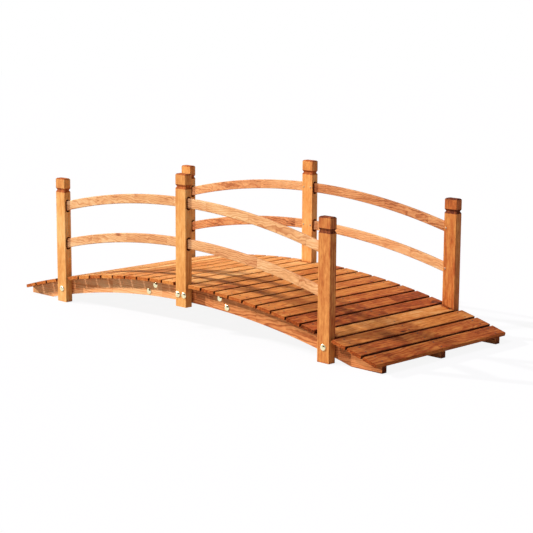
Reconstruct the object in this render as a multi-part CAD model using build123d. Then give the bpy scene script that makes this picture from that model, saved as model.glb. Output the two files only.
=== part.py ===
"""Arched garden footbridge in timber, with two curved rails on each side.

Units are millimetres. +X runs along the bridge, +Y across it to the far side, and +Z up.
The origin is on the ground, under the middle of the crown.
"""
from build123d import *
from math import asin, cos, degrees, radians, sin, sqrt
import os

# Deck of loose slats on an arc
deck_length = 1524.0            # over the outer edges of the two end slats
deck_width = 559.0              # length of a full slat, and width over the posts
deck_crown_height = 138.0       # top of the middle slat above the ground
deck_end_height = 28.0          # top of the arc at the ends of the deck
slat_width = 50.0
slat_nominal_gap = 7.5          # sets how many slats there are, and the gaps are then made even
slat_thickness = 10.0
slat_edge_bevel = 1.5           # long edges of the walking face
slat_seat_clearance = 0.05      # between a flat slat and the arc under it
slat_post_clearance = 0.5       # between a short slat and the post that it stops at
slats_past_post = 3             # full slats between an end post and the end of the deck

# Stringers: three arched bearers, each in two halves joined at the crown
stringer_thickness = 18.0
stringer_depth = 48.0           # at the crown
stringer_end_setback = 3.0      # end slat overhangs the stringer by this
foot_length = 107.0             # flat part that stands on the ground
stringer_butt_clearance = 0.2   # between the two halves
splice_length = 384.0           # inner board that joins the two halves
splice_thickness = 18.0
splice_top_drop = 2.0           # splice stays this far below the slats

# Rails: two curved bars in each bay, let into slots in the posts
rail_depth = 28.5
rail_thickness = 9.0
rail_edge_bevel = 1.5
rail_radius = 2330.0            # top edge of every rail
upper_rail_above_deck = 252.5   # from the deck's crown to the rail's top edge
lower_rail_above_deck = 133.0
rail_tenon_length = 17.0        # length of rail inside an end post
rail_meeting_gap = 4.0          # between the two rails inside a middle post
slot_side_space = 4.5           # beside the rail
slot_space_above_rail = 4.5     # where the rail enters the post
slot_space_below_rail = 7.0
slot_end_space = 4.0            # from the rail's end to the bottom of its slot

# Posts: three on each side, bolted to the outer stringers
post_length_x = 44.5
post_width_y = 24.4
end_post_above_rail = 77.0      # from the rail's top edge to the top of the post
middle_post_above_rail = 70.0
middle_post_drop = 12.0         # below the underside of the stringer
post_top_bevel = 3.5
post_edge_bevel = 1.0
groove_below_top = 37.5         # from the top of a post to the middle of its groove
groove_height = 13.0
groove_depth = 3.5

# Pins and bolt holes
pin_diameter = 4.0
pin_sides = 6
pin_from_post_edge = 7.5        # pin's centre to the post's face that the rail enters
pin_tip_past_rail = 1.5
pin_clearance = 0.1             # on the radius
bolt_hole_diameter = 6.4
middle_bolt_spacing = 26.0
splice_bolts_from_crown = 156.0     # to the middle of each pair
splice_bolt_spacing_along = 30.0
splice_bolt_spacing_up = 21.3

# Worked out from the sizes above
half_length = deck_length / 2
deck_rise = deck_crown_height - deck_end_height
deck_radius = (half_length**2 + deck_rise**2) / (2 * deck_rise)
arc_centre_height = deck_crown_height - deck_radius
stringer_top_radius = deck_radius - slat_thickness - slat_seat_clearance
stringer_top_crown = arc_centre_height + stringer_top_radius
stringer_end_x = half_length - stringer_end_setback
foot_start_x = stringer_end_x - foot_length
under_crown_height = stringer_top_crown - stringer_depth
under_radius = (foot_start_x**2 + under_crown_height**2) / (2 * under_crown_height)
end_slat_angle = asin(half_length / deck_radius) - asin(slat_width / 2 / deck_radius)
slats_each_way = round(end_slat_angle * deck_radius / (slat_width + slat_nominal_gap))
slat_step_angle = end_slat_angle / slats_each_way
slats_to_post = slats_each_way - slats_past_post
end_post_x = deck_radius * sin(slats_to_post * slat_step_angle)
post_inner_y = deck_width / 2 - post_width_y
post_centre_y = deck_width / 2 - post_width_y / 2
stringer_y = post_inner_y - stringer_thickness / 2
slot_width = rail_thickness + 2 * slot_side_space
slot_height = rail_depth + slot_space_above_rail + slot_space_below_rail
slot_middle_drop = (slot_space_below_rail - slot_space_above_rail) / 2
upper_rail_crown = deck_crown_height + upper_rail_above_deck
lower_rail_crown = deck_crown_height + lower_rail_above_deck

sides = {"near": -1, "far": 1}
ends = {"left": -1, "right": 1}
rail_crowns = {"upper": upper_rail_crown, "lower": lower_rail_crown}


def arch_height(x, radius, crown):
    """Height at x of an arc of this radius that peaks at x = 0."""
    return sqrt(radius**2 - x**2) - radius + crown


def arch_edge(radius, crown, x_start, x_end):
    """Arc in the XZ plane between two places along the bridge."""
    stops = (x_start, (x_start + x_end) / 2, x_end)
    return ThreePointArc(*[Vector(x, 0, arch_height(x, radius, crown)) for x in stops])


def straight_edge(start, end):
    """Straight edge in the XZ plane between two (x, z) points."""
    return Line(Vector(start[0], 0, start[1]), Vector(end[0], 0, end[1]))


def board_from_outline(edges, centre_y, thickness):
    """Upright board cut to an outline in the XZ plane."""
    face = make_face(edges)
    return Pos(0, centre_y, 0) * extrude(face, amount=thickness / 2, dir=(0, 1, 0), both=True)


def cross_bar(section, x, z, centre_y, length):
    """Bar of this section across the bridge."""
    return Pos(x, centre_y, z) * Rot(90, 0, 0) * extrude(section, amount=length / 2, both=True)


def bolt_hole(x, z, centre_y, length):
    """Round bar that drills a bolt's hole."""
    return cross_bar(Circle(bolt_hole_diameter / 2), x, z, centre_y, length)


def stringer_middle_height(x):
    """Height of a stringer's middle line at x."""
    top = arch_height(x, stringer_top_radius, stringer_top_crown)
    bottom = arch_height(x, under_radius, under_crown_height)
    return (top + bottom) / 2


def splice_bolt_places():
    """The (x, z) points of the pair of bolts beside the crown: the upper one, then the lower one."""
    places = []
    for sign in (1, -1):
        x = splice_bolts_from_crown - sign * splice_bolt_spacing_along / 2
        places.append((x, stringer_middle_height(x) + sign * splice_bolt_spacing_up / 2))
    return places


def middle_bolt_place():
    """The (x, z) point of one of the two bolts through a middle post."""
    x = middle_bolt_spacing / 2
    return x, stringer_middle_height(x)


def end_post_bolt_place():
    """The (x, z) point of the bolt through an end post."""
    return end_post_x, stringer_middle_height(end_post_x)


def slat(index):
    """Flat slat laid on the arc. The slats beside posts stop short at the posts' inner faces."""
    step = index - slats_each_way - 1
    length = deck_width
    if abs(step) in (0, slats_to_post):
        length = 2 * (post_inner_y - slat_post_clearance)
    section = Rectangle(slat_width, slat_thickness)
    section = chamfer(section.vertices().group_by(Axis.Y)[-1], slat_edge_bevel)
    flat_slat = extrude(Plane.XZ * section, amount=length / 2, both=True)
    lifted = Pos(0, 0, deck_radius - slat_thickness / 2) * flat_slat
    return Pos(0, 0, arc_centre_height) * Rot(0, degrees(step * slat_step_angle), 0) * lifted


def stringer_half(centre_y, end_sign, bolted):
    """Half of an arched stringer, from the crown to a flat foot on the ground."""
    butt_x = end_sign * stringer_butt_clearance / 2
    end_x = end_sign * stringer_end_x
    foot_x = end_sign * foot_start_x
    butt_top = (butt_x, arch_height(butt_x, stringer_top_radius, stringer_top_crown))
    butt_bottom = (butt_x, arch_height(butt_x, under_radius, under_crown_height))
    end_top = (end_x, arch_height(end_x, stringer_top_radius, stringer_top_crown))
    outline = [
        arch_edge(stringer_top_radius, stringer_top_crown, butt_x, end_x),
        straight_edge(end_top, (end_x, 0)),
        straight_edge((end_x, 0), (foot_x, 0)),
        arch_edge(under_radius, under_crown_height, foot_x, butt_x),
        straight_edge(butt_bottom, butt_top),
    ]
    board = board_from_outline(outline, centre_y, stringer_thickness)
    if bolted:
        for x, z in [*splice_bolt_places(), middle_bolt_place(), end_post_bolt_place()]:
            board -= bolt_hole(end_sign * x, z, centre_y, 2 * stringer_thickness)
    return board


def splice_board(centre_y, bolted):
    """Arched board across the joint of two stringer halves."""
    top_crown = stringer_top_crown - splice_top_drop
    top_radius = stringer_top_radius - splice_top_drop
    half = splice_length / 2
    top_z = arch_height(half, top_radius, top_crown)
    bottom_z = arch_height(half, under_radius, under_crown_height)
    outline = [
        arch_edge(top_radius, top_crown, -half, half),
        straight_edge((half, top_z), (half, bottom_z)),
        arch_edge(under_radius, under_crown_height, half, -half),
        straight_edge((-half, bottom_z), (-half, top_z)),
    ]
    board = board_from_outline(outline, centre_y, splice_thickness)
    if bolted:
        for x, z in [*splice_bolt_places(), middle_bolt_place()]:
            for sign in ends.values():
                board -= bolt_hole(sign * x, z, centre_y, 2 * splice_thickness)
    return board


def rail_middle_height(x, crown):
    """Height of a rail's middle line at x."""
    return arch_height(x, rail_radius, crown) - rail_depth / 2


def grooved_post(centre_x, side_sign, foot, top):
    """Post with eased edges, a bevelled top and a V groove round its head."""
    post = Box(post_length_x, post_width_y, top - foot)
    post = chamfer(post.faces().sort_by(Axis.Z)[-1].edges(), post_top_bevel)
    post = chamfer(post.edges().filter_by(Axis.Z), post_edge_bevel)
    groove_z = (top - foot) / 2 - groove_below_top
    half_x = post_length_x / 2
    half_y = post_width_y / 2
    for reach, width, turn in ((half_y, post_length_x, 0), (half_x, post_width_y, 90)):
        vee = Polyline(
            (0, reach - groove_depth, 0),
            (0, reach + groove_depth, groove_height),
            (0, reach + groove_depth, -groove_height),
            close=True,
        )
        cutter = extrude(make_face(vee), amount=width, dir=(1, 0, 0), both=True)
        for flip in (0, 180):
            post -= Pos(0, 0, groove_z) * Rot(0, 0, turn + flip) * cutter
    return Pos(centre_x, side_sign * post_centre_y, (foot + top) / 2) * post


def rail_slot(inner_x, outer_x, rail_middle_z, centre_y):
    """Round-ended slot cut along the bridge between two places."""
    shape = Plane.YZ * Rot(0, 0, 90) * SlotOverall(slot_height, slot_width)
    bar = extrude(shape, amount=abs(outer_x - inner_x) / 2, both=True)
    return Pos((inner_x + outer_x) / 2, centre_y, rail_middle_z - slot_middle_drop) * bar


def pin_places(end_sign, crown):
    """The (x, z) points where a rail is pinned, at the middle post and at the end post."""
    middle_x = post_length_x / 2 - pin_from_post_edge
    end_x = end_post_x - post_length_x / 2 + pin_from_post_edge
    return [(end_sign * x, rail_middle_height(x, crown)) for x in (middle_x, end_x)]


def pin(x, z, side_sign, clearance):
    """Pin from a post's inner face through the rail's end."""
    tip_y = post_centre_y + rail_thickness / 2 + pin_tip_past_rail
    length = tip_y - post_inner_y
    section = RegularPolygon(pin_diameter / 2 + clearance, pin_sides)
    return cross_bar(section, x, z, side_sign * (post_inner_y + length / 2), length)


def end_post(side_sign, end_sign):
    """Post that stands on the ground, with two blind slots for the rails."""
    top = arch_height(end_post_x, rail_radius, upper_rail_crown) + end_post_above_rail
    post = grooved_post(end_sign * end_post_x, side_sign, 0, top)
    entry_x = end_post_x - post_length_x / 2
    mouth_x = entry_x - slot_end_space
    bottom_x = entry_x + rail_tenon_length + slot_end_space
    for crown in rail_crowns.values():
        rail_z = rail_middle_height(entry_x, crown)
        post -= rail_slot(end_sign * mouth_x, end_sign * bottom_x, rail_z, side_sign * post_centre_y)
        x, z = pin_places(end_sign, crown)[1]
        post -= pin(x, z, side_sign, pin_clearance)
    x, z = end_post_bolt_place()
    return post - bolt_hole(end_sign * x, z, side_sign * post_centre_y, 2 * post_width_y)


def middle_post(side_sign):
    """Post at the crown, with two slots that run right through it."""
    foot = under_crown_height - middle_post_drop
    post = grooved_post(0, side_sign, foot, upper_rail_crown + middle_post_above_rail)
    for crown in rail_crowns.values():
        rail_z = rail_middle_height(0, crown)
        post -= rail_slot(-post_length_x, post_length_x, rail_z, side_sign * post_centre_y)
        for end_sign in ends.values():
            x, z = pin_places(end_sign, crown)[0]
            post -= pin(x, z, side_sign, pin_clearance)
    x, z = middle_bolt_place()
    for end_sign in ends.values():
        post -= bolt_hole(end_sign * x, z, side_sign * post_centre_y, 2 * post_width_y)
    return post


def rail(side_sign, end_sign, crown):
    """Curved rail from inside the middle post to inside an end post."""
    start_x = end_sign * rail_meeting_gap / 2
    end_x = end_sign * (end_post_x - post_length_x / 2 + rail_tenon_length)
    bottom_radius = rail_radius - rail_depth
    bottom_crown = crown - rail_depth
    outline = [
        arch_edge(rail_radius, crown, start_x, end_x),
        straight_edge(
            (end_x, arch_height(end_x, rail_radius, crown)),
            (end_x, arch_height(end_x, bottom_radius, bottom_crown)),
        ),
        arch_edge(bottom_radius, bottom_crown, end_x, start_x),
        straight_edge(
            (start_x, arch_height(start_x, bottom_radius, bottom_crown)),
            (start_x, arch_height(start_x, rail_radius, crown)),
        ),
    ]
    bar = board_from_outline(outline, side_sign * post_centre_y, rail_thickness)
    bar = chamfer(bar.edges().filter_by(GeomType.CIRCLE), rail_edge_bevel)
    for x, z in pin_places(end_sign, crown):
        bar -= pin(x, z, side_sign, pin_clearance)
    return bar


def rail_pins(side_sign):
    """All the pins of one railing."""
    places = [
        place
        for end_sign in ends.values()
        for crown in rail_crowns.values()
        for place in pin_places(end_sign, crown)
    ]
    return Compound([pin(x, z, side_sign, 0) for x, z in places])


def bridge():
    """Every piece of the bridge by name."""
    pieces = {f"slat_{index:02d}": slat(index) for index in range(1, 2 * slats_each_way + 2)}
    splice_inset = (stringer_thickness + splice_thickness) / 2
    for side, side_sign in sides.items():
        pieces[f"post_{side}_middle"] = middle_post(side_sign)
        pieces[f"splice_{side}"] = splice_board(side_sign * (stringer_y - splice_inset), True)
        pieces[f"rail_pins_{side}"] = rail_pins(side_sign)
        for end, end_sign in ends.items():
            pieces[f"post_{side}_{end}"] = end_post(side_sign, end_sign)
            pieces[f"stringer_{side}_{end}"] = stringer_half(side_sign * stringer_y, end_sign, True)
            for level, crown in rail_crowns.items():
                pieces[f"rail_{side}_{end}_{level}"] = rail(side_sign, end_sign, crown)
    for end, end_sign in ends.items():
        pieces[f"stringer_centre_{end}"] = stringer_half(0, end_sign, False)
    pieces["splice_centre"] = splice_board(splice_inset, False)
    return pieces


os.makedirs("parts", exist_ok=True)
for name, piece in bridge().items():
    piece.label = name
    export_step(piece, f"parts/{name}.step")
    print(name, round(piece.volume))
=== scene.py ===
"""Finishes, fasteners, light and camera for an arched timber garden footbridge.

Units are metres, in the frame of the solids: +X along the bridge, +Y across it to the far railing, +Z up.
"""
import logging
import math
import random
from collections.abc import Callable
from dataclasses import dataclass, field
from enum import Enum

import bmesh
import bpy
from mathutils import Matrix, Vector


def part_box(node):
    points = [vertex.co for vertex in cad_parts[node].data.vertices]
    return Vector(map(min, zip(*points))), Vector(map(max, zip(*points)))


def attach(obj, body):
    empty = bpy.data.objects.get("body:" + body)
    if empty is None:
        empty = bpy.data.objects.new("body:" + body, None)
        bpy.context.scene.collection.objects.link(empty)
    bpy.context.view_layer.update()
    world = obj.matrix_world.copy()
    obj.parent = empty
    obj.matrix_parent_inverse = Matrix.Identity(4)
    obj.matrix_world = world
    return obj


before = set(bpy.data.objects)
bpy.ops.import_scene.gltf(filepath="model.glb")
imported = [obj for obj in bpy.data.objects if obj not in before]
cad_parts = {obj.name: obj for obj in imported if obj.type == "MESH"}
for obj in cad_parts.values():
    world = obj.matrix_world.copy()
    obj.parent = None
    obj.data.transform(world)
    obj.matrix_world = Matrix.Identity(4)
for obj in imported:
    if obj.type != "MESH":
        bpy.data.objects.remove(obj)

LOG = logging.getLogger("footbridge")
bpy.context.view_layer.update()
PHOTO_WIDTH = 533
MM = 0.001
STEEL_SLOT = "pin_steel"
EDGE_SAMPLES = 4
GAP_SAMPLES = 8

Triple = tuple[float, float, float]
Colour = Triple
Span = tuple[float, float]

WHITE: Colour = (1.0, 1.0, 1.0)


def stain(red: int, green: int, blue: int) -> Colour:
    """Linear colour of a tone that is written as a screen shows it.

    Args:
        red: Red level from 0 to 255.
        green: Green level from 0 to 255.
        blue: Blue level from 0 to 255.

    Returns:
        The same tone as linear red, green and blue from 0 to 1.
    """
    levels = (red / 255, green / 255, blue / 255)
    return tuple(v / 12.92 if v <= 0.04045 else ((v + 0.055) / 1.055) ** 2.4 for v in levels)


class Option(Enum):
    """A choice whose options name pieces."""

    def __str__(self) -> str:
        """The option's word in the names of pieces."""
        return self.name.lower()


class Side(Option):
    """The two railings, each with the sign of Y outside it."""

    NEAR = -1
    FAR = 1

    @property
    def outward(self) -> Vector:
        """Direction away from the deck."""
        return Vector((0.0, float(self.value), 0.0))

    @property
    def inward(self) -> Vector:
        """Direction towards the deck."""
        return Vector((0.0, -float(self.value), 0.0))

    @property
    def outer(self) -> int:
        """Which corner of a solid's box, its lowest or its highest, lies away from the deck."""
        return 1 if self is Side.FAR else 0

    @property
    def inner(self) -> int:
        """Which corner of a solid's box, its lowest or its highest, lies towards the deck."""
        return 0 if self is Side.FAR else 1


class End(Option):
    """The two ends of the bridge, each with its sign of X."""

    LEFT = -1
    RIGHT = 1


class Line(Option):
    """The three lines of stringers under the deck."""

    NEAR = 0
    CENTRE = 1
    FAR = 2


class Grain(Enum):
    """The way a board's grain runs, as the order of the axes: along it, then the two across it."""

    LENGTHWAYS = (0, 1, 2)
    CROSSWAYS = (1, 0, 2)
    UPRIGHT = (2, 0, 1)


class Tone(Enum):
    """How deep one board took the stain, beside its fellows."""

    PALEST = -0.22
    PALE = -0.13
    LIGHT = -0.06
    PLAIN = 0.0
    WARM = 0.08
    DEEP = 0.17
    DEEPEST = 0.28


class Value:
    """A number socket in a material, with Python's operators on it."""

    def __init__(self, sheet: "NodeSheet", socket: bpy.types.NodeSocket) -> None:
        """Keeps the socket and the sheet that it belongs to."""
        self.sheet = sheet
        self.socket = socket

    def __add__(self, other: "Value | float") -> "Value":
        """Sum."""
        return self.sheet.math("ADD", self, other)

    def __radd__(self, other: float) -> "Value":
        """Sum with a number on the left."""
        return self.sheet.math("ADD", other, self)

    def __sub__(self, other: "Value | float") -> "Value":
        """Difference."""
        return self.sheet.math("SUBTRACT", self, other)

    def __rsub__(self, other: float) -> "Value":
        """Difference with a number on the left."""
        return self.sheet.math("SUBTRACT", other, self)

    def __mul__(self, other: "Value | float") -> "Value":
        """Product."""
        return self.sheet.math("MULTIPLY", self, other)

    def __rmul__(self, other: float) -> "Value":
        """Product with a number on the left."""
        return self.sheet.math("MULTIPLY", other, self)

    def __truediv__(self, other: "Value | float") -> "Value":
        """Quotient."""
        return self.sheet.math("DIVIDE", self, other)

    def __rtruediv__(self, other: float) -> "Value":
        """Quotient with a number on the left."""
        return self.sheet.math("DIVIDE", other, self)

    def __abs__(self) -> "Value":
        """Size without its sign."""
        return self.sheet.math("ABSOLUTE", self)

    def at_least(self, other: "Value | float") -> "Value":
        """The larger of two numbers."""
        return self.sheet.math("MAXIMUM", self, other)

    def fraction(self) -> "Value":
        """Part after the whole number."""
        return self.sheet.math("FRACT", self)

    def whole(self) -> "Value":
        """Whole number below."""
        return self.sheet.math("FLOOR", self)

    def root(self) -> "Value":
        """Square root."""
        return self.sheet.math("SQRT", self)

    def fold(self, half: float) -> "Value":
        """Zigzag between 0 and half."""
        return self.sheet.math("PINGPONG", self, half)

    def step_between(self, low: float, high: float) -> "Value":
        """Rises smoothly from 0 at low to 1 at high.

        Args:
            low: Number that gives 0. It may be above high, and then the step falls.
            high: Number that gives 1.

        Returns:
            A number from 0 to 1.
        """
        settings = {"interpolation_type": "SMOOTHSTEP", "clamp": True}
        inputs = {"Value": self, "From Min": low, "From Max": high}
        return self.sheet.value("ShaderNodeMapRange", settings, inputs, "Result")


class NodeSheet:
    """The nodes of one material, or of the world."""

    def __init__(self, tree: bpy.types.NodeTree) -> None:
        """Starts from an empty tree."""
        self.tree = tree
        tree.nodes.clear()

    @staticmethod
    def for_material(name: str) -> tuple[bpy.types.Material, "NodeSheet"]:
        """Makes a material with an empty sheet.

        Args:
            name: Name of the material.

        Returns:
            The material and its sheet.
        """
        made = bpy.data.materials.new(name)
        made.use_nodes = True
        return made, NodeSheet(made.node_tree)

    def node(self, kind: str, settings: dict | None = None, inputs: dict | None = None) -> bpy.types.Node:
        """Adds a node.

        Args:
            kind: The node's type name.
            settings: The node's own options by name, with a ramp's stops under "stops".
            inputs: Values or sockets for the node's inputs, by name or number.

        Returns:
            The new node.
        """
        made = self.tree.nodes.new(kind)
        for name, value in (settings or {}).items():
            if name == "stops":
                self.set_stops(made.color_ramp, value)
            else:
                setattr(made, name, value)
        for name, value in (inputs or {}).items():
            source = value.socket if isinstance(value, Value) else value
            if isinstance(source, bpy.types.NodeSocket):
                self.tree.links.new(source, made.inputs[name])
            else:
                made.inputs[name].default_value = source
        return made

    @staticmethod
    def set_stops(ramp: bpy.types.ColorRamp, stops: list[tuple[float, Colour]]) -> None:
        """Gives a colour ramp its stops.

        Args:
            ramp: The ramp, with fewer stops than it gets.
            stops: Place, from 0 to 1, and colour of each stop in rising order.
        """
        while len(ramp.elements) < len(stops):
            ramp.elements.new(1.0)
        for stop, (place, colour) in zip(ramp.elements, stops):
            stop.position = place
            stop.color = (*colour, 1.0)

    def value(self, kind: str, settings: dict, inputs: dict, output: str | int) -> Value:
        """Adds a node and takes one of its outputs as a number."""
        return Value(self, self.node(kind, settings, inputs).outputs[output])

    def math(self, operation: str, *terms: Value | float) -> Value:
        """Adds a Math node on these terms."""
        return self.value("ShaderNodeMath", {"operation": operation}, dict(enumerate(terms)), 0)

    def dot(self, first: bpy.types.NodeSocket, second: bpy.types.NodeSocket | Vector) -> Value:
        """How far two directions agree, from -1 to 1."""
        settings = {"operation": "DOT_PRODUCT"}
        return self.value("ShaderNodeVectorMath", settings, {0: first, 1: second}, "Value")

    def point(self, x: Value | float, y: Value | float, z: Value | float) -> bpy.types.NodeSocket:
        """Joins three numbers into a point."""
        return self.node("ShaderNodeCombineXYZ", {}, {"X": x, "Y": y, "Z": z}).outputs[0]

    def parts(self, vector: bpy.types.NodeSocket) -> tuple[Value, Value, Value]:
        """Splits a vector or colour into its three numbers."""
        split = self.node("ShaderNodeSeparateXYZ", {}, {0: vector})
        return tuple(Value(self, out) for out in split.outputs)

    def noise(self, place: bpy.types.NodeSocket, detail: float = 2.0, coarseness: float = 0.5) -> Value:
        """Soft noise from 0 to 1, with waves about one unit long."""
        inputs = {"Vector": place, "Scale": 1.0, "Detail": detail, "Roughness": coarseness}
        return self.value("ShaderNodeTexNoise", {}, inputs, "Fac")

    def stretched(self, place: bpy.types.NodeSocket, length: float, width: float) -> bpy.types.NodeSocket:
        """A place in units of a length along the grain and a width across it."""
        inputs = {0: place, 1: (length, width, width)}
        return self.node("ShaderNodeVectorMath", {"operation": "DIVIDE"}, inputs).outputs[0]

    def blend(
        self,
        share: Value | float,
        first: bpy.types.NodeSocket | Colour,
        second: bpy.types.NodeSocket | Colour,
        way: str = "MIX",
    ) -> bpy.types.NodeSocket:
        """Mixes two colours.

        Args:
            share: How much of the second colour, from 0 to 1.
            first: Colour at a share of 0.
            second: Colour that is mixed in.
            way: The Mix node's blend type.

        Returns:
            The mixed colour's socket.
        """
        pair = [(*c, 1.0) if isinstance(c, tuple) else c for c in (first, second)]
        settings = {"data_type": "RGBA", "blend_type": way, "clamp_factor": True}
        return self.node("ShaderNodeMix", settings, {0: share, 6: pair[0], 7: pair[1]}).outputs[2]

    def show(self, shader: bpy.types.Node, output: str = "ShaderNodeOutputMaterial") -> None:
        """Joins a shader to the output node."""
        self.node(output, {}, {"Surface": shader.outputs[0]})


@dataclass(frozen=True)
class Softwood:
    """Stained softwood, sawn from one board or finger-jointed from short blocks.

    The growth rings are rings in the solid wood, so faces, edges and ends of a board agree. All that
    varies the wood adds to one number, the depth of the stain, which a ramp turns into its colour; the
    painted shade in gaps and the painted highlight on edges are added to the same number.
    Lengths in this class are in millimetres. A size pair is a length along the grain and a width
    across it, and a span is where a step starts and where it ends.
    """

    grain: Grain
    stain: tuple[Colour, Colour, Colour, Colour]
    pith: Span
    # depth of the stain, and where on its scale each colour lies
    depth: float = 0.4
    stain_places: tuple[float, float, float, float] = (0.0, 0.35, 0.7, 1.0)
    rosy_share: float = 0.25
    rosy_tint: Colour = (1.0, 0.86, 0.92)
    # the log that the boards are cut from
    log_length: float = 9000.0
    log_breadth: float = 700.0
    pith_spread: float = 30.0
    # growth rings, which run out on the faces as flames
    ring_width: float = 3.2
    ring_strength: float = 0.22
    ring_average: float = 0.28
    ring_faintest: float = 0.3
    ring_rise: Span = (0.3, 0.85)
    ring_fall: Span = (1.0, 0.92)
    ring_shift: float = 9.0
    ring_runout: float = 0.05
    ring_wander: float = 8.0
    flame_length: float = 75.0
    flame_width: float = 24.0
    # streaks, fine lines, mottle and blotches
    streak_size: Span = (140.0, 6.0)
    streak_strength: float = 0.5
    line_size: Span = (45.0, 1.3)
    line_span: Span = (0.58, 0.78)
    line_strength: float = 0.12
    mottle_size: Span = (20.0, 7.0)
    mottle_strength: float = 0.2
    blotch_size: Span = (90.0, 34.0)
    blotch_strength: float = 0.35
    # finger-jointed blocks, where there are any
    block_length: float = 0.0
    block_contrast: float = 0.25
    block_unevenness: float = 0.8
    finger_length: float = 9.0
    finger_pitch: float = 6.0
    glue_span: Span = (1.0, 0.3)
    glue_depth: float = 0.14
    # small knots, and the grain that bends round them
    knot_spacing: float = 150.0
    knot_slimness: float = 0.3
    knot_share: float = 0.2
    knot_edge: float = 0.01
    knot_span: Span = (0.13, 0.05)
    knot_depth: float = 0.45
    swirl_span: Span = (0.6, 0.05)
    swirl_width: float = 7.0
    # ends, painted shade in gaps, edges made paler by rubbed stain and a painted highlight, and a post's
    # head
    end_span: Span = (0.3, 0.45)
    end_depth: float = 0.5
    # painted shade: the wood is painted darker in gaps and corners, where less light reaches
    gap_shade_reach: float = 12.0
    gap_shade_span: Span = (0.8, 0.3)
    gap_shade_depth: float = 0.45
    # edges painted paler, partly rubbed stain and partly a painted highlight
    edge_rub_and_highlight_radius: float = 1.2
    edge_rub_and_highlight_span: Span = (0.995, 0.9)
    edge_rub_and_highlight: float = 0.12
    head_height: float = 0.0
    head_fade: float = 2.0
    head_depth: float = 0.1
    # gloss and relief
    roughness: float = 0.55
    ring_roughness: float = -0.06
    streak_roughness: float = 0.3
    end_roughness: float = 0.35
    shine: float = 0.1
    relief_height: float = 0.4
    relief_strength: float = 0.4
    ring_relief: float = 0.5
    streak_relief: float = 0.6
    line_relief: float = -0.35
    edge_radius: float = 0.8

    def material(self, name: str, box: tuple[Vector, Vector], seed: int, tone: Tone) -> bpy.types.Material:
        """Makes the finish for one board.

        Args:
            name: Name of the material.
            box: Lowest and highest corner of the board.
            seed: Number that picks where in the log this board lay.
            tone: How deep this board took the stain.

        Returns:
            The board's material.
        """
        made, sheet = NodeSheet.for_material(name)
        place = sheet.parts(sheet.node("ShaderNodeTexCoord").outputs["Object"])
        centre = (box[0] + box[1]) / 2
        along, across, through = ((place[axis] - centre[axis]) / MM for axis in self.grain.value)
        reach = (box[1] - box[0])[self.grain.value[0]] / 2 / MM
        log_place = random.Random(seed).uniform(0.0, self.log_length)
        picks, glue = self.blocks(sheet, along, across, log_place)
        log_across = across + picks[0] * self.log_breadth
        log_through = through + picks[1] * self.log_breadth
        wood = sheet.point(along + log_place, log_across, log_through)
        knot, swirl = self.knots(sheet, wood)
        latewood = self.latewood(sheet, (along, across, through), wood, picks, swirl)
        streaks = sheet.noise(sheet.stretched(wood, *self.streak_size), detail=4.0, coarseness=0.62)
        hairs = sheet.noise(sheet.stretched(wood, *self.line_size), detail=1.0)
        lines = hairs.step_between(*self.line_span)
        blotch = sheet.noise(sheet.stretched(wood, *self.blotch_size))
        mottle = sheet.noise(sheet.stretched(wood, *self.mottle_size), detail=3.0, coarseness=0.6)
        cut = self.end_grain(sheet)
        depth = (
            (latewood - self.ring_average) * self.ring_strength
            + (streaks - 0.5) * self.streak_strength
            + lines * self.line_strength
            + (blotch - 0.5) * self.blotch_strength
            + (mottle - 0.5) * self.mottle_strength
            + (picks[2] - 0.5) * self.block_contrast
            + glue * self.glue_depth
            + knot * self.knot_depth
            + cut * self.end_depth
            + self.head(along, reach) * self.head_depth
            # painted shade, darker in gaps and corners
            + self.painted_gap_shade(sheet) * self.gap_shade_depth
            # paler edges, partly rubbed stain and partly a painted highlight
            - self.rubbed_and_highlit_edges(sheet) * self.edge_rub_and_highlight
            + (self.depth + tone.value)
        )
        stops = list(zip(self.stain_places, self.stain))
        colour = sheet.node("ShaderNodeValToRGB", {"stops": stops}, {0: depth}).outputs[0]
        rosy = picks[0] * (self.rosy_share * 2.0)
        dull = (streaks - 0.5) * self.streak_roughness + latewood * self.ring_roughness
        relief = latewood * self.ring_relief + streaks * self.streak_relief + lines * self.line_relief
        inputs = {
            "Base Color": sheet.blend(rosy, colour, self.rosy_tint, "MULTIPLY"),
            "Roughness": dull + cut * self.end_roughness + self.roughness,
            "Normal": self.surface(sheet, relief),
            "Specular IOR Level": self.shine,
        }
        sheet.show(sheet.node("ShaderNodeBsdfPrincipled", {}, inputs))
        return made

    def surface(self, sheet: NodeSheet, relief: Value) -> bpy.types.NodeSocket:
        """Raises the grain a little and softens the board's edges.

        Args:
            sheet: The material's nodes.
            relief: How far the grain stands out.

        Returns:
            The normal's socket.
        """
        radius = {"Radius": self.edge_radius * MM}
        edges = sheet.node("ShaderNodeBevel", {"samples": EDGE_SAMPLES}, radius).outputs[0]
        inputs = {
            "Strength": self.relief_strength,
            "Distance": self.relief_height * MM,
            "Height": relief,
            "Normal": edges,
        }
        return sheet.node("ShaderNodeBump", {}, inputs).outputs[0]

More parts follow.
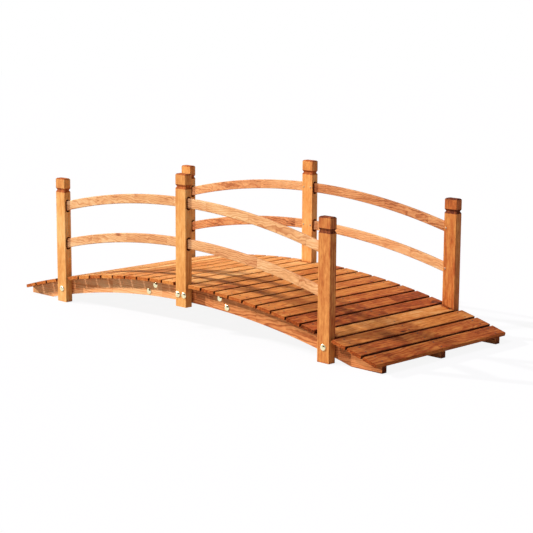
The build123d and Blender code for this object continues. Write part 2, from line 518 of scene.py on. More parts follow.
    def blocks(
        self, sheet: NodeSheet, along: Value, across: Value, log_place: float
    ) -> tuple[tuple[Value, Value, Value], Value | float]:
        """Finds the finger-jointed block that a place lies in.

        Args:
            sheet: The material's nodes.
            along: Place along the grain.
            across: Place across the board.
            log_place: Where this board starts in the run of blocks.

        Returns:
            Three random numbers of the block, and a number that is 1 on a glue line.
        """
        if not self.block_length:
            noise = {"noise_dimensions": "1D"}
            single = sheet.node("ShaderNodeTexWhiteNoise", noise, {"W": log_place})
            return sheet.parts(single.outputs["Color"]), 0.0
        zigzag = across.fold(self.finger_pitch / 2) * (self.finger_length / self.finger_pitch * 2)
        rank = (along + zigzag + log_place) / self.block_length
        inputs = {"W": rank, "Scale": 1.0, "Randomness": self.block_unevenness}
        cells = sheet.node("ShaderNodeTexVoronoi", {"voronoi_dimensions": "1D"}, inputs)
        to_edge = {"voronoi_dimensions": "1D", "feature": "DISTANCE_TO_EDGE"}
        edges = sheet.value("ShaderNodeTexVoronoi", to_edge, inputs, "Distance")
        glue = (edges * self.block_length).step_between(*self.glue_span)
        return sheet.parts(cells.outputs["Color"]), glue

    def knots(self, sheet: NodeSheet, wood: bpy.types.NodeSocket) -> tuple[Value, Value]:
        """Scatters a few small knots.

        Args:
            sheet: The material's nodes.
            wood: Place in the wood.

        Returns:
            A number that is 1 in a knot, and one that is 1 where the grain bends round it.
        """
        spread = sheet.stretched(wood, self.knot_spacing, self.knot_spacing * self.knot_slimness)
        cell = sheet.node("ShaderNodeTexVoronoi", {}, {"Vector": spread, "Scale": 1.0})
        distance = Value(sheet, cell.outputs["Distance"])
        pick = sheet.parts(cell.outputs["Color"])[0]
        here = pick.step_between(1.0 - self.knot_share - self.knot_edge, 1.0 - self.knot_share)
        knot = distance.step_between(*self.knot_span)
        swirl = distance.step_between(*self.swirl_span)
        return knot * here, swirl * here

    def latewood(
        self,
        sheet: NodeSheet,
        board: tuple[Value, Value, Value],
        wood: bpy.types.NodeSocket,
        picks: tuple[Value, Value, Value],
        swirl: Value,
    ) -> Value:
        """Dense late wood of the growth rings round a pith that lies outside the board.

        Args:
            sheet: The material's nodes.
            board: Place along, across and through the board.
            wood: Place in the wood.
            picks: Random numbers of the block.
            swirl: How much the grain bends round a knot.

        Returns:
            A number that is 1 in the dense edge of a ring.
        """
        along, across, through = board
        runout = along * (picks[0] - 0.5) * (2.0 * self.ring_runout)
        side = across - (picks[1] - 0.5) * self.pith_spread - self.pith[0]
        deep = through - (picks[2] - 0.5) * self.pith_spread - self.pith[1]
        flames = sheet.noise(sheet.stretched(wood, self.flame_length, self.flame_width))
        wander = (flames - 0.5) * self.ring_wander + swirl * self.swirl_width
        radius = (side * side + deep * deep).root() + runout + wander
        count = radius / self.ring_width + picks[2] * self.ring_shift
        share = count.fraction()
        noise = {"noise_dimensions": "1D"}
        strength = sheet.value("ShaderNodeTexWhiteNoise", noise, {"W": count.whole()}, "Value")
        shape = share.step_between(*self.ring_rise) * share.step_between(*self.ring_fall)
        return shape * (strength * (1.0 - self.ring_faintest) + self.ring_faintest)

    def head(self, along: Value, reach: float) -> Value | float:
        """Finds a post's head, above its groove, which took more stain.

        Args:
            along: Place along the post.
            reach: Half the post's length.

        Returns:
            A number that is 1 on the head.
        """
        if not self.head_height:
            return 0.0
        return along.step_between(reach - self.head_height - self.head_fade, reach - self.head_height)

    def end_grain(self, sheet: NodeSheet) -> Value:
        """A number that is 1 on faces cut across the grain, and part of it on slanted ones."""
        normal = sheet.node("ShaderNodeNewGeometry").outputs["True Normal"]
        return abs(sheet.parts(normal)[self.grain.value[0]]).step_between(*self.end_span)

    def painted_gap_shade(self, sheet: NodeSheet) -> Value:
        """Finds gaps and corners, where the wood is painted darker as painted shade, since less light
        reaches them.

        Args:
            sheet: The material's nodes.

        Returns:
            A number that rises to 1 in a gap.
        """
        inputs = {"Distance": self.gap_shade_reach * MM}
        openness = sheet.value("ShaderNodeAmbientOcclusion", {"samples": GAP_SAMPLES}, inputs, "AO")
        return openness.step_between(*self.gap_shade_span)

    def rubbed_and_highlit_edges(self, sheet: NodeSheet) -> Value:
        """Finds the board's sharp edges, which are painted paler, partly as rubbed stain and partly as a
        painted highlight.

        Args:
            sheet: The material's nodes.

        Returns:
            A number that rises to 1 at an edge.
        """
        radius = {"Radius": self.edge_rub_and_highlight_radius * MM}
        rounded = sheet.node("ShaderNodeBevel", {"samples": EDGE_SAMPLES}, radius).outputs[0]
        flat = sheet.node("ShaderNodeNewGeometry").outputs["True Normal"]
        return sheet.dot(rounded, flat).step_between(*self.edge_rub_and_highlight_span)


@dataclass(frozen=True)
class Metal:
    """Bare or plated metal, a little uneven."""

    bright: Colour
    dull: Colour
    roughness: float
    metallic: float = 1.0
    cloud_size: float = 4.0 * MM
    cloud_span: Span = (0.4, 0.7)
    grit_size: float = 0.4 * MM
    grit_height: float = 0.1 * MM
    grit_strength: float = 0.2
    grit_roughness: float = 0.12

    def material(self, name: str) -> bpy.types.Material:
        """Makes the finish.

        Args:
            name: Name of the material.

        Returns:
            The material.
        """
        made, sheet = NodeSheet.for_material(name)
        place = sheet.node("ShaderNodeTexCoord").outputs["Object"]
        cloud = sheet.noise(sheet.stretched(place, self.cloud_size, self.cloud_size), detail=3.0)
        grit = sheet.noise(sheet.stretched(place, self.grit_size, self.grit_size))
        bump = {"Strength": self.grit_strength, "Distance": self.grit_height, "Height": grit}
        inputs = {
            "Base Color": sheet.blend(cloud.step_between(*self.cloud_span), self.bright, self.dull),
            "Metallic": self.metallic,
            "Roughness": grit * self.grit_roughness + (self.roughness - self.grit_roughness / 2),
            "Normal": sheet.node("ShaderNodeBump", {}, bump).outputs[0],
        }
        sheet.show(sheet.node("ShaderNodeBsdfPrincipled", {}, inputs))
        return made


POST_WOOD = Softwood(
    grain=Grain.UPRIGHT,
    stain=(stain(250, 212, 134), stain(235, 166, 83), stain(190, 101, 41), stain(90, 38, 16)),
    pith=(-90.0, -70.0),
    ring_width=4.4,
    ring_strength=0.2,
    ring_runout=0.012,
    ring_wander=5.0,
    streak_strength=0.45,
    line_strength=0.08,
    mottle_strength=0.5,
    blotch_strength=0.55,
    knot_share=0.04,
    end_depth=0.3,
    # painted shade in gaps and corners
    gap_shade_depth=0.25,
    head_height=44.0,
    head_depth=0.12,
    rosy_share=0.15,
    shine=0.15,
)
RAIL_WOOD = Softwood(
    grain=Grain.LENGTHWAYS,
    stain=(stain(248, 214, 156), stain(233, 174, 111), stain(194, 122, 70), stain(104, 50, 24)),
    pith=(-18.0, 0.0),
    pith_spread=20.0,
    ring_width=5.6,
    ring_strength=0.32,
    ring_runout=0.07,
    ring_wander=18.0,
    flame_length=40.0,
    streak_strength=0.35,
    line_strength=0.06,
    mottle_strength=0.4,
    blotch_strength=0.65,
    block_length=190.0,
    block_contrast=0.14,
    rosy_share=0.1,
)
STRINGER_WOOD = Softwood(
    grain=Grain.LENGTHWAYS,
    stain=(stain(250, 196, 132), stain(230, 154, 88), stain(184, 102, 50), stain(84, 36, 14)),
    pith=(-30.0, 6.0),
    pith_spread=20.0,
    ring_width=5.0,
    ring_strength=0.33,
    ring_wander=12.0,
    block_length=230.0,
    block_contrast=0.18,
    rosy_share=0.12,
)
SLAT_WOOD = Softwood(
    grain=Grain.CROSSWAYS,
    stain=(stain(250, 201, 128), stain(226, 147, 70), stain(175, 83, 33), stain(66, 29, 10)),
    pith=(12.0, -70.0),
    ring_width=4.0,
    ring_strength=0.26,
    streak_strength=0.6,
    line_strength=0.16,
    mottle_strength=0.5,
    blotch_strength=0.4,
    block_length=170.0,
    block_contrast=0.12,
    end_depth=0.2,
    # painted shade, dark in the gaps between slats
    gap_shade_depth=0.6,
    gap_shade_reach=20.0,
    gap_shade_span=(0.95, 0.68),
    rosy_share=0.04,
    roughness=0.66,
    shine=0.06,
)
WOODS = {
    "post": POST_WOOD,
    "rail": RAIL_WOOD,
    "stringer": STRINGER_WOOD,
    "splice": STRINGER_WOOD,
    "slat": SLAT_WOOD,
}
PLATING = Metal(bright=(0.95, 0.9, 0.62), dull=(0.84, 0.72, 0.38), roughness=0.13)
NAIL_STEEL = Metal(bright=(0.05, 0.03, 0.02), dull=(0.025, 0.015, 0.01), roughness=0.7, metallic=0.2)
SCREW_STEEL = Metal(bright=(0.52, 0.38, 0.24), dull=(0.36, 0.25, 0.15), roughness=0.5, metallic=0.7)


def lay_finish(node: str, finish: bpy.types.Material) -> None:
    """Puts a finish on every material slot of a solid."""
    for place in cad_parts[node].material_slots:
        place.material = finish


def middle_of(node: str) -> Vector:
    """Middle of a solid's box."""
    low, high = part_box(node)
    return (low + high) / 2


def facing(place: Vector, direction: Vector) -> Matrix:
    """Placing that stands a piece at a place with its +Z along a direction."""
    return Matrix.Translation(place) @ direction.to_track_quat("Z", "X").to_matrix().to_4x4()


@dataclass
class Timberwork:
    """The boards of the bridge, which are solids of the frame and get their finishes here."""

    first_seed: int = 11
    tones: dict[str, Tone] = field(
        default_factory=lambda: {
            "post_near_left": Tone.PALEST,
            "post_near_right": Tone.WARM,
            "post_far_right": Tone.DEEP,
            "rail_near_right_lower": Tone.WARM,
            "rail_far_left_lower": Tone.DEEP,
            "rail_far_left_upper": Tone.WARM,
            "rail_far_right_upper": Tone.DEEPEST,
            "stringer_near_left": Tone.PALEST,
            "stringer_near_right": Tone.DEEP,
            # slats 4 to 8 are paler partly as real tone and partly as a painted sheen, the sheen that the
            # left half of the deck shows
            "slat_04": Tone.PALE,
            "slat_05": Tone.LIGHT,
            "slat_06": Tone.PALEST,
            "slat_08": Tone.PALEST,
            "slat_11": Tone.LIGHT,
            "slat_12": Tone.LIGHT,
            "slat_13": Tone.PALE,
            "slat_14": Tone.PALE,
            "slat_16": Tone.WARM,
            "slat_18": Tone.WARM,
            "slat_19": Tone.WARM,
            "slat_20": Tone.WARM,
            "slat_21": Tone.DEEP,
            "slat_22": Tone.DEEPEST,
            "slat_23": Tone.DEEPEST,
            "slat_24": Tone.LIGHT,
            "slat_25": Tone.WARM,
            "slat_26": Tone.DEEP,
            "slat_27": Tone.DEEPEST,
        }
    )

    def build(self) -> None:
        """Gives each board its own piece of wood."""
        boards = [node for node in sorted(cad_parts) if not node.startswith("rail_pins")]
        for number, node in enumerate(boards):
            wood = WOODS[node.split("_")[0]]
            tone = self.tones.get(node, Tone.PLAIN)
            lay_finish(node, wood.material(f"wood_{node}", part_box(node), self.first_seed + number, tone))
            LOG.info("board %s, %s", node, tone.name.lower())


class Bench:
    """Shapes small pieces in edit mode, along +Z at the origin, and sets copies of them in place."""

    @staticmethod
    def clear() -> None:
        """Deselects every object."""
        bpy.ops.object.select_all(action="DESELECT")

    @staticmethod
    def circle(sides: int, radius: float, filled: bool = True) -> bpy.types.Object:
        """Starts a new piece from a circle, and stays in edit mode with the circle selected.

        Args:
            sides: Number of sides of the circle.
            radius: Radius of its corners.
            filled: Gives it a face.

        Returns:
            The new piece.
        """
        Bench.clear()
        fill = "NGON" if filled else "NOTHING"
        bpy.ops.mesh.primitive_circle_add(vertices=sides, radius=radius, fill_type=fill)
        bpy.ops.object.mode_set(mode="EDIT")
        return bpy.context.object

    @staticmethod
    def select(made: bpy.types.Object, test: Callable[[Vector], bool]) -> None:
        """Selects faces in edit mode.

        Args:
            made: The piece that is edited.
            test: Tells from a face's middle whether it is selected.
        """
        bpy.ops.mesh.select_mode(type="FACE")
        bpy.ops.mesh.select_all(action="DESELECT")
        mesh = bmesh.from_edit_mesh(made.data)
        for face in mesh.faces:
            face.select_set(test(face.calc_center_median()))
        bmesh.update_edit_mesh(made.data)

    @staticmethod
    def rise(height: float, narrowing: float = 1.0) -> None:
        """Extrudes the selected faces upwards.

        Args:
            height: How far they rise, or sink if it's below 0.
            narrowing: Scale of the new end.
        """
        bpy.ops.mesh.extrude_region_move(TRANSFORM_OT_translate={"value": (0.0, 0.0, height)})
        if narrowing != 1.0:
            bpy.ops.transform.resize(value=(narrowing, narrowing, 1.0))

    @staticmethod
    def finish(made: bpy.types.Object, smooth_below: float = 40.0) -> bpy.types.Object:
        """Leaves edit mode with the faces pointing outwards and the curved parts smooth.

        Args:
            made: The piece that is edited.
            smooth_below: Edges that turn by less, in degrees, are smooth.

        Returns:
            The same piece.
        """
        bpy.ops.mesh.select_all(action="SELECT")
        bpy.ops.mesh.remove_doubles(threshold=MM / 1000)
        bpy.ops.mesh.normals_make_consistent(inside=False)
        bpy.ops.object.mode_set(mode="OBJECT")
        bpy.ops.object.shade_smooth_by_angle(angle=math.radians(smooth_below))
        return made

    @staticmethod
    def profile(sides: int, steps: list[tuple[float, float]]) -> bpy.types.Object:
        """Turns a closed round piece from its outline.

        Args:
            sides: Number of sides of the circle.
            steps: Radius and height of each ring, from the bottom up.

        Returns:
            The finished piece.
        """
        radius, height = steps[0]
        made = Bench.circle(sides, radius)
        for next_radius, next_height in steps[1:]:
            Bench.rise(next_height - height, next_radius / radius)
            radius, height = next_radius, next_height
        made = Bench.finish(made)
        made.data.transform(Matrix.Translation((0.0, 0.0, steps[0][1])))
        return made

    @staticmethod
    def copy_to(pattern: bpy.types.Object, places: list[Matrix]) -> list[bpy.types.Object]:
        """Copies a piece, each copy with its own mesh set in place.

        Args:
            pattern: The piece modelled at the origin.
            places: Where each copy goes.

        Returns:
            The copies, with their objects at the origin.
        """
        copies = []
        for place in places:
            made = pattern.copy()
            made.data = pattern.data.copy()
            made.data.transform(place)
            bpy.context.scene.collection.objects.link(made)
            copies.append(made)
        return copies

    @staticmethod
    def join(
        pieces: list[bpy.types.Object], name: str, finish: bpy.types.Material, slot: str
    ) -> bpy.types.Object:
        """Joins pieces into one, which rides on the bridge.

        Args:
            pieces: The pieces to join.
            name: Name of the joined piece.
            finish: Its material.
            slot: Name of a slot for its finish; not used.

        Returns:
            The joined piece.
        """
        Bench.clear()
        for piece in pieces:
            piece.select_set(True)
        bpy.context.view_layer.objects.active = pieces[0]
        bpy.ops.object.join()
        made = bpy.context.object
        made.name = name
        made.data.name = name
        made.data.materials.clear()
        made.data.materials.append(finish)
        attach(made, "root")
        LOG.info("piece %s", name)
        return made

    @staticmethod
    def discard(piece: bpy.types.Object) -> None:
        """Removes a pattern once its copies are made."""
        bpy.data.objects.remove(piece)


@dataclass
class Bolts:
    """Domed bolts with washers and nuts, through the posts, stringers and splice boards.

    The dome's outline is in shares of the head's radius and height.
    """

    # head
    head_radius: float = 9.6 * MM
    head_height: float = 4.2 * MM
    dome: tuple[Span, ...] = (
        (1.0, 0.0),
        (1.0, 0.16),
        (0.955, 0.34),
        (0.84, 0.58),
        (0.66, 0.79),
        (0.42, 0.93),
        (0.18, 0.985),
    )
    seat_relief: float = 0.02 * MM
    seat_lip: float = 0.4 * MM
    neck_height: float = 0.2 * MM
    # shank
    shank_radius: float = 3.0 * MM
    tip_share: float = 0.78
    tip_chamfer: float = 0.75 * MM
    tip_past_nut: float = 2.5 * MM
    # washer and nut
    washer_radius: float = 7.5 * MM
    washer_thickness: float = 1.2 * MM
    nut_radius: float = 5.8 * MM
    nut_height: float = 5.0 * MM
    hole_clearance: float = 0.1 * MM
    eased_width: float = 0.25 * MM
    eased_angle: float = 35.0
    sides: int = 32
    nut_corners: int = 6
    nut_cuts: int = 3
    # places
    end_post_height: float = 42.75 * MM
    middle_half_spacing: float = 13.0 * MM
    middle_height: float = 103.92 * MM
    splice_places: tuple[Span, ...] = ((141.0 * MM, 110.9 * MM), (171.0 * MM, 87.86 * MM))

    def build(self) -> None:
        """Sets all the bolts of both sides."""
        plating = PLATING.material("bolt_plating")
        for side in Side:
            for label, outer, inner in self.places(side):
                self.bolt(f"bolt_{side}_{label}", outer, inner, side.outward, plating)

    def places(self, side: Side) -> list[tuple[str, Vector, Vector]]:
        """Finds where the bolts of one side go.

        Args:
            side: The railing's side.

        Returns:
            Each bolt's label, and the centres of its head's seat and its washer's seat.
        """
        post_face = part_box(f"post_{side}_left")[side.outer].y
        stringer_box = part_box(f"stringer_{side}_left")
        stringer_face = stringer_box[side.outer].y
        stringer_back = stringer_box[side.inner].y
        splice_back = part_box(f"splice_{side}")[side.inner].y
        found = []
        for end in End:
            post_x = middle_of(f"post_{side}_{end}").x
            middle_x = end.value * self.middle_half_spacing
            found.append((f"post_{end}", post_x, self.end_post_height, post_face, stringer_back))
            found.append((f"middle_{end}", middle_x, self.middle_height, post_face, splice_back))
            for level, (x, z) in zip(("upper", "lower"), self.splice_places):
                label = f"splice_{end}_{level}"
                found.append((label, end.value * x, z, stringer_face, splice_back))
        return [
            (label, Vector((x, outer, z)), Vector((x, inner, z)))
            for label, x, z, outer, inner in found
        ]

    def bolt(
        self, name: str, outer: Vector, inner: Vector, outward: Vector, plating: bpy.types.Material
    ) -> None:
        """Sets one bolt with its washer and nut.

        Args:
            name: Name of the piece.
            outer: Centre of the head's seat.
            inner: Centre of the washer's seat.
            outward: Direction that the head faces.
            plating: The metal's finish.
        """
        reach = (outer - inner).length
        tip = -(reach + self.washer_thickness + self.nut_height + self.tip_past_nut)
        outline = [
            (self.tip_share * self.shank_radius, tip),
            (self.shank_radius, tip + self.tip_chamfer),
            (self.shank_radius, -self.neck_height),
            (self.head_radius - self.seat_lip, -self.seat_relief),
        ]
        outline += [(across * self.head_radius, up * self.head_height) for across, up in self.dome]
        body = Bench.profile(self.sides, outline)
        body.data.transform(facing(outer, outward))
        washer = self.ring(self.sides, 0, self.washer_radius, self.washer_thickness)
        washer.data.transform(facing(inner, -outward))
        nut = self.ring(self.nut_corners, self.nut_cuts, self.nut_radius, self.nut_height)
        nut.data.transform(facing(inner - outward * self.washer_thickness, -outward))
        Bench.join([body, washer, nut], name, plating, STEEL_SLOT)

    def ring(self, corners: int, cuts: int, radius: float, height: float) -> bpy.types.Object:
        """Models a washer or a nut, with a round hole and eased edges.

        Args:
            corners: Number of corners of the outline.
            cuts: Extra points on each of its sides, so that the hole is rounder than the outline.
            radius: Radius of the corners.
            height: Thickness.

        Returns:
            The finished piece.
        """
        made = Bench.circle(corners, radius, filled=False)
        if cuts:
            bpy.ops.mesh.subdivide(number_cuts=cuts)
        # A circle that is added in edit mode becomes part of the same mesh.
        hole = self.shank_radius + self.hole_clearance
        bpy.ops.mesh.primitive_circle_add(vertices=corners * (cuts + 1), radius=hole, fill_type="NOTHING")
        bpy.ops.mesh.select_all(action="SELECT")
        bpy.ops.mesh.bridge_edge_loops()
        bpy.ops.mesh.select_all(action="SELECT")
        Bench.rise(height)
        made = Bench.finish(made, smooth_below=30.0)
        bevel = made.modifiers.new("eased", "BEVEL")
        bevel.width = self.eased_width
        bevel.segments = 2
        bevel.limit_method = "ANGLE"
        bevel.angle_limit = math.radians(self.eased_angle)
        bpy.ops.object.modifier_apply(modifier=bevel.name)
        return made


@dataclass(frozen=True)
class DeckArc:
    """The arc that the top of the deck follows."""

    radius: float = 2694.29 * MM

    def place(self, x: float, below: float = 0.0) -> tuple[Vector, Vector]:
        """Finds a place on the arc, or on one that lies below it.

        Args:
            x: Distance along the bridge.
            below: How far the place lies below the top of the deck.

        Returns:
            The place, over the bridge's middle line, and the upward direction there.
        """
        reach = self.radius - below
        tilt = math.asin(x / reach)
        up = Vector((math.sin(tilt), 0.0, math.cos(tilt)))
        arc_centre = Vector((0.0, 0.0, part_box("slat_14")[1].z - self.radius))
        return arc_centre + up * reach, up


@dataclass
class Nails:
    """Two nails in each slat over each stringer.

    The head's outline is in shares of its radius and of how far it stands proud.
    """

    arc: DeckArc = DeckArc()
    head_radius: float = 2.7 * MM
    proud: float = 0.25 * MM
    stub: float = 1.0 * MM
    dome: tuple[Span, ...] = ((1.0, 0.0), (0.86, 0.6), (0.45, 1.0), (0.1, 1.05))
    half_spacing: float = 14.0 * MM
    drift_along: float = 2.0 * MM
    drift_across: float = 3.0 * MM
    sides: int = 14
    slat_thickness: float = 10.0 * MM
    seed: int = 5

    def build(self) -> None:
        """Sets the nails as one piece over each stringer."""
        steel = NAIL_STEEL.material("nail_steel")
        pattern = self.head()
        dice = random.Random(self.seed)
        for line in Line:
            y = middle_of(f"stringer_{line}_left").y
            heads = Bench.copy_to(pattern, self.places(y, dice))
            Bench.join(heads, f"nails_{line}", steel, STEEL_SLOT)
        Bench.discard(pattern)

    def head(self) -> bpy.types.Object:
        """Models a low domed nail head on a short stub.

        Returns:
            The head, whose rim is level with the origin.
        """
        outline = [(self.head_radius, -self.stub)]
        outline += [(across * self.head_radius, up * self.proud) for across, up in self.dome]
        return Bench.profile(self.sides, outline)

    def places(self, y: float, dice: random.Random) -> list[Matrix]:
        """Finds the nails' places over one stringer.

        Args:
            y: Middle of the stringer.
            dice: Source of the small errors of a hand that drives nails.

        Returns:
            A placing for each nail.
        """
        found = []
        half = self.slat_thickness / 2
        for slat in sorted(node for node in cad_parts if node.startswith("slat_")):
            middle, up = self.arc.place(middle_of(slat).x, half)
            ahead = Vector((up.z, 0.0, -up.x))
            for sign in (-1, 1):
                across = y + dice.uniform(-self.drift_across, self.drift_across)
                along = sign * self.half_spacing + dice.uniform(-self.drift_along, self.drift_along)
                found.append(facing(middle + up * half + ahead * along + Vector((0.0, across, 0.0)), up))
        return found


@dataclass
class Screws:
    """Cross-head screws that hold the rails in the posts and the centre splice board on its stringer.

    Each step of the head is its rise and how much narrower its upper end is.
    """

    arc: DeckArc = DeckArc()
    head_radius: float = 3.0 * MM
    head_steps: tuple[Span, ...] = ((0.15 * MM, 1.0), (0.3 * MM, 0.86), (0.1 * MM, 0.8))
    recess_radius: float = 1.7 * MM
    recess_half_width: float = 0.4 * MM
    recess_depth: float = 0.5 * MM
    margin: float = 0.01 * MM
    sides: int = 24
    from_post_edge: float = 7.5 * MM
    rail_radius: float = 2330.0 * MM
    rail_depth: float = 28.5 * MM
    rail_crowns: Span = (390.5 * MM, 271.0 * MM)
    splice_from_crown: tuple[float, ...] = (20.0 * MM, 72.0 * MM, 124.0 * MM, 170.0 * MM)
    splice_below_deck: float = 34.0 * MM
    splice_stagger: float = 9.0 * MM

    def build(self) -> None:
        """Sets the screws as one piece on each side and one on the centre splice board."""
        steel = SCREW_STEEL.material("screw_steel")
        pattern = self.head()
        for side in Side:
            heads = Bench.copy_to(pattern, self.rail_places(side))
            Bench.join(heads, f"rail_screws_{side}", steel, STEEL_SLOT)
            self.dress_pins(side)
        heads = Bench.copy_to(pattern, self.splice_places())
        Bench.join(heads, "splice_screws", steel, STEEL_SLOT)
        Bench.discard(pattern)

    def dress_pins(self, side: Side) -> None:
        """Gives the solid pins behind one side's rail screws their metal."""
        lay_finish(f"rail_pins_{side}", SCREW_STEEL.material(f"pins_{side}"))
        LOG.info("pins rail_pins_%s", side)

    def rail_places(self, side: Side) -> list[Matrix]:
        """Finds the places on the posts' inner faces, over the ends of the rails.

        Args:
            side: The railing's side.

        Returns:
            A placing for each screw.
        """
        post_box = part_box(f"post_{side}_right")
        inner = post_box[side.inner].y
        first_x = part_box(f"post_{side}_middle")[1].x - self.from_post_edge
        last_x = post_box[0].x + self.from_post_edge
        found = []
        for crown in self.rail_crowns:
            for x in (first_x, last_x):
                z = crown - self.rail_radius + math.sqrt(self.rail_radius**2 - x**2) - self.rail_depth / 2
                found += [facing(Vector((end.value * x, inner, z)), side.inward) for end in End]
        return found

    def splice_places(self) -> list[Matrix]:
        """Finds the places on the free face of the centre splice board, in a staggered row.

        Returns:
            A placing for each screw.
        """
        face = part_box("splice_centre")[1].y
        found = []
        for number, from_crown in enumerate(self.splice_from_crown):
            stagger = self.splice_stagger * (1 if number % 2 else -1)
            for end in End:
                place, _ = self.arc.place(end.value * from_crown, self.splice_below_deck + stagger)
                found.append(facing(Vector((place.x, face, place.z)), Vector((0.0, 1.0, 0.0))))
        return found

    def on_flat(self, point: Vector) -> bool:
        """Tells whether a place is on the head's flat top, in the circle that holds the cross."""
        top = sum(height for height, _ in self.head_steps)
        return point.z > top - self.margin and point.xy.length < self.recess_radius

    def in_cross(self, point: Vector) -> bool:
        """Tells whether a place is in the arms of the cross."""
        return self.on_flat(point) and min(abs(point.x), abs(point.y)) < self.recess_half_width

    def head(self) -> bpy.types.Object:
        """Models a low screw head with a cross recess.

        Returns:
            The head, which stands on the origin along +Z.
        """
        made = Bench.circle(self.sides, self.head_radius)
        for height, narrowing in self.head_steps:
            Bench.rise(height, narrowing)
        flat_radius = self.head_radius * math.prod(narrowing for _, narrowing in self.head_steps)
        bpy.ops.mesh.inset(thickness=flat_radius - self.recess_radius)
        for normal in ((1.0, 0.0, 0.0), (0.0, 1.0, 0.0)):
            for side in (-self.recess_half_width, self.recess_half_width):
                Bench.select(made, self.on_flat)
                bpy.ops.mesh.bisect(plane_co=[n * side for n in normal], plane_no=normal)
        Bench.select(made, self.in_cross)
        Bench.rise(-self.recess_depth)
        return Bench.finish(made)


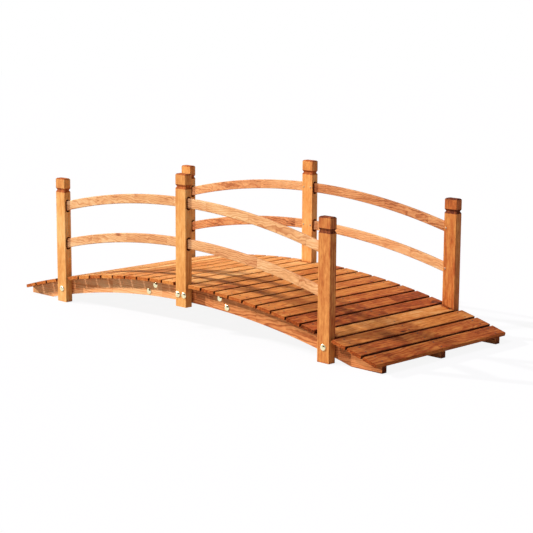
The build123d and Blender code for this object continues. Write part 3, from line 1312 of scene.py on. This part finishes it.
@dataclass
class Studio:
    """White ground, soft light and the camera.

    The key light comes from the left, low, and lays the railings' shadows across the deck. The soft
    light comes from the front, from higher up, and its marks fall through the slat gaps on the stringers.
    """

    # camera
    camera_place: Triple = (3.2632, -3.1912, 0.9757)
    yaw: float = 0.7848
    pitch: float = 0.1781
    roll: float = 0.0057
    focal_pixels: float = 1516.887
    # lamps
    key_travel: Triple = (1.0, 0.42, -0.447)
    key_strength: float = 4.05
    key_angle: float = 1.2
    soft_travel: Triple = (0.274, 0.607, -0.746)
    soft_strength: float = 1.5
    soft_angle: float = 7.0
    fill_tint: Colour = (1.04, 0.95, 1.12)
    # light from all round
    ambient: float = 0.21
    ambient_ahead: float = 0.01
    ambient_behind: float = 0.2
    room_side: Triple = (0.1, -0.98, 0.13)
    room_span: Span = (0.7, 0.86)
    room_darkness: float = 0.97
    # floor
    floor_half: float = 12.0
    floor_drop: float = 0.5 * MM
    floor_bounce: float = 0.5
    floor_seen: float = 0.9
    floor_glow: float = 0.9

    def build(self) -> None:
        """Sets the floor, the lamps, the sky and the camera."""
        self.floor()
        self.lamp("key_light", self.key_travel, self.key_strength, self.key_angle, WHITE)
        self.lamp("soft_light", self.soft_travel, self.soft_strength, self.soft_angle, self.fill_tint)
        self.sky()
        self.camera()
        bpy.context.scene.view_settings.view_transform = "Standard"
        LOG.info("studio: floor, lamps, sky and camera")

    def floor(self) -> None:
        """Pale floor that shows white to the camera and keeps the bridge's shadow."""
        Bench.clear()
        bpy.ops.mesh.primitive_plane_add(size=2 * self.floor_half, location=(0.0, 0.0, -self.floor_drop))
        ground = bpy.context.object
        ground.name = "floor"
        paint, sheet = NodeSheet.for_material("floor_white")
        seen = self.seen(sheet)
        bounce, shown = (self.floor_bounce,) * 3, (self.floor_seen,) * 3
        matt = sheet.node("ShaderNodeBsdfDiffuse", {}, {"Color": sheet.blend(seen, bounce, shown)})
        glow = sheet.node("ShaderNodeEmission", {}, {"Color": (*WHITE, 1.0), "Strength": 1.0})
        inputs = {0: seen * self.floor_glow, 1: matt.outputs[0], 2: glow.outputs[0]}
        sheet.show(sheet.node("ShaderNodeMixShader", {}, inputs))
        ground.data.materials.append(paint)

    def seen(self, sheet: NodeSheet) -> Value:
        """Finds rays from the camera, and rays that mirrors and glass pass on.

        Args:
            sheet: The material's nodes.

        Returns:
            A number that is 1 for such a ray.
        """
        rays = sheet.node("ShaderNodeLightPath").outputs
        found = Value(sheet, rays["Is Camera Ray"])
        for name in ("Is Glossy Ray", "Is Transmission Ray"):
            found = found.at_least(Value(sheet, rays[name]))
        return found

    def lamp(self, name: str, travel: Triple, strength: float, angle: float, tint: Colour) -> None:
        """Adds a far lamp.

        Args:
            name: Name of the lamp.
            travel: The way its light travels.
            strength: Light on a surface that faces it.
            angle: How wide the lamp looks from the bridge, in degrees, which softens its shadows.
            tint: Colour of its light.
        """
        data = bpy.data.lights.new(name, "SUN")
        data.energy = strength
        data.color = tint
        data.angle = math.radians(angle)
        lamp = bpy.data.objects.new(name, data)
        lamp.rotation_euler = Vector(travel).to_track_quat("-Z", "Y").to_euler()
        bpy.context.scene.collection.objects.link(lamp)

    def sky(self) -> None:
        """White to the camera, soft light on the bridge, and a dark room in the metal's reflections."""
        world = bpy.data.worlds.new("studio")
        world.use_nodes = True
        bpy.context.scene.world = world
        sheet = NodeSheet(world.node_tree)
        way = sheet.node("ShaderNodeTexCoord").outputs["Generated"]
        along, across, _ = sheet.parts(way)
        ambient = along * self.ambient_ahead + across.at_least(0.0) * self.ambient_behind + self.ambient
        room = sheet.dot(way, Vector(self.room_side).normalized()).step_between(*self.room_span)
        rays = sheet.node("ShaderNodeLightPath").outputs
        glossy = Value(sheet, rays["Is Glossy Ray"])
        clear = Value(sheet, rays["Is Camera Ray"]).at_least(Value(sheet, rays["Is Transmission Ray"]))
        mirrored = (1.0 - room * self.room_darkness) * glossy + ambient * (1.0 - glossy)
        inputs = {
            "Color": sheet.blend(clear.at_least(glossy), self.fill_tint, WHITE),
            "Strength": clear + (1.0 - clear) * mirrored,
        }
        sheet.show(sheet.node("ShaderNodeBackground", {}, inputs), "ShaderNodeOutputWorld")

    def camera(self) -> None:
        """Camera at the photograph's viewpoint."""
        data = bpy.data.cameras.new("camera")
        data.sensor_width = 36.0
        data.lens = self.focal_pixels / PHOTO_WIDTH * data.sensor_width
        data.clip_end = 100.0
        eye = bpy.data.objects.new("camera", data)
        level = math.cos(self.pitch)
        ahead = Vector((-math.sin(self.yaw) * level, math.cos(self.yaw) * level, -math.sin(self.pitch)))
        right = Vector((math.cos(self.yaw), math.sin(self.yaw), 0.0))
        up = right.cross(ahead)
        x_axis = right * math.cos(self.roll) + up * math.sin(self.roll)
        y_axis = up * math.cos(self.roll) - right * math.sin(self.roll)
        turn = Matrix((x_axis, y_axis, -ahead)).transposed().to_4x4()
        eye.matrix_world = Matrix.Translation(self.camera_place) @ turn
        bpy.context.scene.collection.objects.link(eye)
        bpy.context.scene.camera = eye


def main() -> None:
    """Builds the whole scene."""
    logging.basicConfig(level=logging.INFO, format="%(message)s")
    for part in (Timberwork(), Bolts(), Nails(), Screws(), Studio()):
        part.build()


if __name__ == "__main__":
    main()
